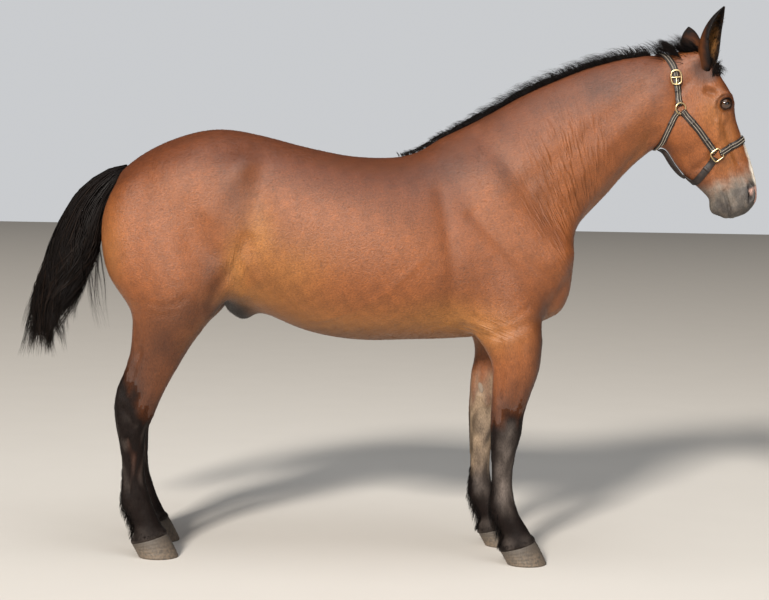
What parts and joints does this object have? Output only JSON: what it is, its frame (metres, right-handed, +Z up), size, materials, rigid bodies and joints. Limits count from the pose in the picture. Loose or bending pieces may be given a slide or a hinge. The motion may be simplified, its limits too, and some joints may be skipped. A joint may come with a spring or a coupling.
{
  "type": "heavy horse",
  "caption": "Life-size standing bay heavy horse with black mane, tail and lower legs, wearing a leather halter with brass rings.",
  "frame": {"origin": "on the ground under the middle of the model's box", "axes": "+X forward along the body, +Y to the horse's left, +Z up"},
  "size_m": [2.8272, 0.6844, 2.1402],
  "materials": {
    "barrel": "short bay coat with a sheen",
    "ear_left": "short brown coat, dark rim",
    "ear_right": "short brown coat, dark rim",
    "eye_left": "dark brown model eye, opaque",
    "eye_right": "dark brown model eye, opaque",
    "fore_hoof_left": "dark horn with dust",
    "fore_hoof_right": "dark horn with dust",
    "fore_shank_left": "short black coat",
    "fore_shank_right": "short black coat",
    "forearm_left": "short brown coat, darker towards the knee",
    "forearm_right": "short brown coat, darker towards the knee",
    "forehand": "short bay coat with a sheen",
    "gaskin_left": "short brown coat, darker towards the hock",
    "gaskin_right": "short brown coat, darker towards the hock",
    "halter_buckle_left": "polished cast brass",
    "halter_buckle_right": "polished cast brass",
    "halter_jaw_strap": "dark brown bridle leather",
    "halter_ring_left": "polished cast brass",
    "halter_ring_right": "polished cast brass",
    "halter_square_left": "polished cast brass",
    "halter_square_right": "polished cast brass",
    "halter_straps": "dark brown bridle leather",
    "head": "short bay coat with a sheen",
    "hind_hoof_left": "dark horn with dust",
    "hind_hoof_right": "dark horn with dust",
    "hind_shank_left": "short black coat",
    "hind_shank_right": "short black coat",
    "hindquarters": "short bay coat with a sheen",
    "neck": "short bay coat with a sheen",
    "tail": "long black hair"
  },
  "bodies": {
    "root": {"barrel": "barrel", "ear_left": "ear_left", "ear_right": "ear_right", "eye_left": "eye_left", "eye_right": "eye_right", "fore_hoof_left": "fore_hoof_left", "fore_hoof_right": "fore_hoof_right", "fore_shank_left": "fore_shank_left", "fore_shank_right": "fore_shank_right", "forearm_left": "forearm_left", "forearm_right": "forearm_right", "forehand": "forehand", "gaskin_left": "gaskin_left", "gaskin_right": "gaskin_right", "halter_buckle_left": "halter_buckle_left", "halter_buckle_right": "halter_buckle_right", "halter_jaw_strap": "halter_jaw_strap", "halter_ring_left": "halter_ring_left", "halter_ring_right": "halter_ring_right", "halter_square_left": "halter_square_left", "halter_square_right": "halter_square_right", "halter_straps": "halter_straps", "head": "head", "hind_hoof_left": "hind_hoof_left", "hind_hoof_right": "hind_hoof_right", "hind_shank_left": "hind_shank_left", "hind_shank_right": "hind_shank_right", "hindquarters": "hindquarters", "neck": "neck", "tail": "tail"}
  },
  "joints": []
}
